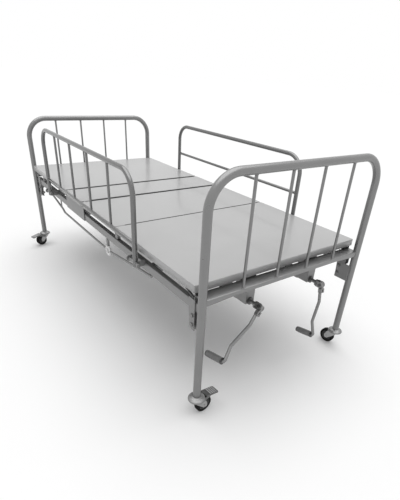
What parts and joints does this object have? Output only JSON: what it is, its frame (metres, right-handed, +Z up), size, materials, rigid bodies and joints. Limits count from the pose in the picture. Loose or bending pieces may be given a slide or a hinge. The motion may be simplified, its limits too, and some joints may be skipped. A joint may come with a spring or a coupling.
{
  "type": "hospital bed",
  "caption": "Manual hospital bed: steel deck in hinged sections raised by two screw cranks, bar hoops at both ends, fold-down side rails and braked swivel casters.",
  "frame": {"origin": "on the floor under the middle of the bed's outer box", "axes": "+X toward the foot end with the cranks, +Y toward the far side, +Z up"},
  "size_m": [2.1596, 1.0814, 0.997],
  "materials": {
    "bright_steel": "satin stainless steel",
    "plain_steel": "plain stainless steel, mill finish",
    "dark_steel": "blackened fasteners and pins",
    "grey_iron": "grey cast iron, plain",
    "grip_plastic": "dark grey plastic",
    "hub_plastic": "grey nylon",
    "tyre_rubber": "black rubber",
    "zinc_steel": "bright zinc plate",
    "black_rubber": "moulded rubber"
  },
  "bodies": {
    "frame": {"head_hoop": "bright_steel", "foot_hoop": "bright_steel", "head_bars": "bright_steel", "foot_bars": "bright_steel", "head_cross_member": "bright_steel", "foot_cross_member": "bright_steel", "near_side_member": "bright_steel", "far_side_member": "bright_steel", "frame_cross_tubes": "plain_steel", "corner_plates": "plain_steel", "frame_bolts": "dark_steel", "seat_side_plates": "plain_steel", "section_hinge_pins": "dark_steel", "seat_section": "bright_steel", "deck_buffers": "black_rubber", "rail_brackets": "bright_steel", "crank_bearing_brackets": "bright_steel", "crank_bushings": "dark_steel", "drive_housings": "bright_steel", "utility_rod": "bright_steel", "caster_tops": "zinc_steel"},
    "backrest": {"backrest_section": "bright_steel", "backrest_underframe": "plain_steel", "backrest_lever": "plain_steel"},
    "thigh": {"thigh_section": "bright_steel", "thigh_underframe": "plain_steel", "knee_lever": "plain_steel", "calf_hinge_pins": "dark_steel"},
    "calf": {"calf_section": "bright_steel", "calf_underframe": "plain_steel"},
    "near_side_rail": {"near_rail": "bright_steel"},
    "far_side_rail": {"far_rail": "bright_steel"},
    "backrest_drive": {"backrest_drive_nut": "grey_iron", "backrest_push_tube": "plain_steel", "backrest_yoke_pin": "dark_steel"},
    "knee_drive": {"knee_drive_nut": "grey_iron", "knee_push_tube": "plain_steel", "knee_yoke_pin": "dark_steel"},
    "backrest_crank": {"backrest_screw": "plain_steel", "backrest_crank_pin": "dark_steel"},
    "backrest_arm": {"backrest_crank_arm": "bright_steel"},
    "backrest_grip": {"backrest_crank_grip": "grip_plastic"},
    "knee_crank": {"knee_screw": "plain_steel", "knee_crank_pin": "dark_steel"},
    "knee_arm": {"knee_crank_arm": "bright_steel"},
    "knee_grip": {"knee_crank_grip": "grip_plastic"},
    "near_foot_caster": {"near_foot_fork": "zinc_steel"},
    "near_foot_wheel": {"near_foot_hub": "hub_plastic", "near_foot_tyre": "tyre_rubber"},
    "near_foot_pedal": {"near_foot_brake_pedal": "zinc_steel"},
    "far_foot_caster": {"far_foot_fork": "zinc_steel"},
    "far_foot_wheel": {"far_foot_hub": "hub_plastic", "far_foot_tyre": "tyre_rubber"},
    "near_head_caster": {"near_head_fork": "zinc_steel"},
    "near_head_wheel": {"near_head_hub": "hub_plastic", "near_head_tyre": "tyre_rubber"},
    "near_head_pedal": {"near_head_brake_pedal": "zinc_steel"},
    "far_head_caster": {"far_head_fork": "zinc_steel"},
    "far_head_wheel": {"far_head_hub": "hub_plastic", "far_head_tyre": "tyre_rubber"}
  },
  "joints": [
    {"name": "backrest_hinge", "type": "hinge", "parent": "frame", "child": "backrest", "pos_m": [-0.34776, 0.01713, 0.584], "axis": [0, 1, 0], "range_deg": [0, 70]},
    {"name": "thigh_hinge", "type": "hinge", "parent": "frame", "child": "thigh", "pos_m": [-0.09676, 0.01713, 0.584], "axis": [0, -1, 0], "range_deg": [0, 35]},
    {"name": "knee_hinge", "type": "hinge", "parent": "thigh", "child": "calf", "pos_m": [0.32624, 0.01713, 0.56], "axis": [0, 1, 0], "range_deg": [0, 57]},
    {"name": "backrest_drive_slide", "type": "slide", "parent": "frame", "child": "backrest_drive", "axis": [-1, 0, 0], "range_m": [0, 0.1815]},
    {"name": "knee_drive_slide", "type": "slide", "parent": "frame", "child": "knee_drive", "axis": [1, 0, 0], "range_m": [0, 0.0842]},
    {"name": "near_rail_fold", "type": "hinge", "parent": "frame", "child": "near_side_rail", "pos_m": [-0.01876, -0.46387, 0.512], "axis": [1, 0, 0], "range_deg": [0, 180]},
    {"name": "far_rail_fold", "type": "hinge", "parent": "frame", "child": "far_side_rail", "pos_m": [-0.01876, 0.49813, 0.512], "axis": [-1, 0, 0], "range_deg": [0, 180]},
    {"name": "backrest_crank_turn", "type": "hinge", "parent": "frame", "child": "backrest_crank", "pos_m": [1.04024, -0.16787, 0.45], "axis": [1, 0, 0], "range_deg": [-14, 147]},
    {"name": "backrest_arm_fold", "type": "hinge", "parent": "backrest_crank", "child": "backrest_arm", "pos_m": [1.04024, -0.16787, 0.45], "axis": [0, -0.673, 0.7396], "range_deg": [0, 168]},
    {"name": "backrest_grip_spin", "type": "hinge", "parent": "backrest_arm", "child": "backrest_grip", "pos_m": [1.07236, -0.3547, 0.27999], "axis": [-0.9806, -0.1449, -0.1319], "continuous": true},
    {"name": "knee_crank_turn", "type": "hinge", "parent": "frame", "child": "knee_crank", "pos_m": [1.04024, 0.20213, 0.45], "axis": [1, 0, 0], "range_deg": [-96, 65]},
    {"name": "knee_arm_fold", "type": "hinge", "parent": "knee_crank", "child": "knee_arm", "pos_m": [1.04024, 0.20213, 0.45], "axis": [0, -0.9981, 0.061], "range_deg": [0, 168]},
    {"name": "knee_grip_spin", "type": "hinge", "parent": "knee_arm", "child": "knee_grip", "pos_m": [1.07236, 0.18671, 0.19787], "axis": [-0.9806, -0.012, -0.1956], "continuous": true},
    {"name": "near_foot_swivel", "type": "hinge", "parent": "frame", "child": "near_foot_caster", "pos_m": [1.01424, -0.43287, 0.08], "axis": [0, 0, 1], "continuous": true},
    {"name": "near_foot_wheel_spin", "type": "hinge", "parent": "near_foot_caster", "child": "near_foot_wheel", "pos_m": [1.0111, -0.39701, 0.0375], "axis": [-0.9962, -0.0872, 0], "continuous": true},
    {"name": "near_foot_pedal_press", "type": "hinge", "parent": "near_foot_caster", "child": "near_foot_pedal", "pos_m": [1.01354, -0.4249, 0.066], "axis": [-0.9962, -0.0872, 0], "range_deg": [0, 9]},
    {"name": "far_foot_swivel", "type": "hinge", "parent": "frame", "child": "far_foot_caster", "pos_m": [1.01424, 0.46713, 0.08], "axis": [0, 0, 1], "continuous": true},
    {"name": "far_foot_wheel_spin", "type": "hinge", "parent": "far_foot_caster", "child": "far_foot_wheel", "pos_m": [0.97844, 0.46337, 0.0375], "axis": [0.1045, -0.9945, 0], "continuous": true},
    {"name": "near_head_swivel", "type": "hinge", "parent": "frame", "child": "near_head_caster", "pos_m": [-1.04376, -0.43287, 0.08], "axis": [0, 0, 1], "continuous": true},
    {"name": "near_head_wheel_spin", "type": "hinge", "parent": "near_head_caster", "child": "near_head_wheel", "pos_m": [-1.03444, -0.46764, 0.0375], "axis": [0.9659, 0.2588, 0], "continuous": true},
    {"name": "near_head_pedal_press", "type": "hinge", "parent": "near_head_caster", "child": "near_head_pedal", "pos_m": [-1.04169, -0.4406, 0.066], "axis": [0.9659, 0.2588, 0], "range_deg": [0, 9]},
    {"name": "far_head_swivel", "type": "hinge", "parent": "frame", "child": "far_head_caster", "pos_m": [-1.04376, 0.46713, 0.08], "axis": [0, 0, 1], "continuous": true},
    {"name": "far_head_wheel_spin", "type": "hinge", "parent": "far_head_caster", "child": "far_head_wheel", "pos_m": [-1.03628, 0.50234, 0.0375], "axis": [-0.9781, 0.2079, 0], "continuous": true}
  ],
  "couplings": [
    {"joint": "knee_hinge", "follows": "thigh_hinge", "ratio": 1.62},
    {"joint": "backrest_drive_slide", "follows": "backrest_hinge", "m_per_rad": 0.14798},
    {"joint": "knee_drive_slide", "follows": "thigh_hinge", "m_per_rad": 0.1372}
  ]
}
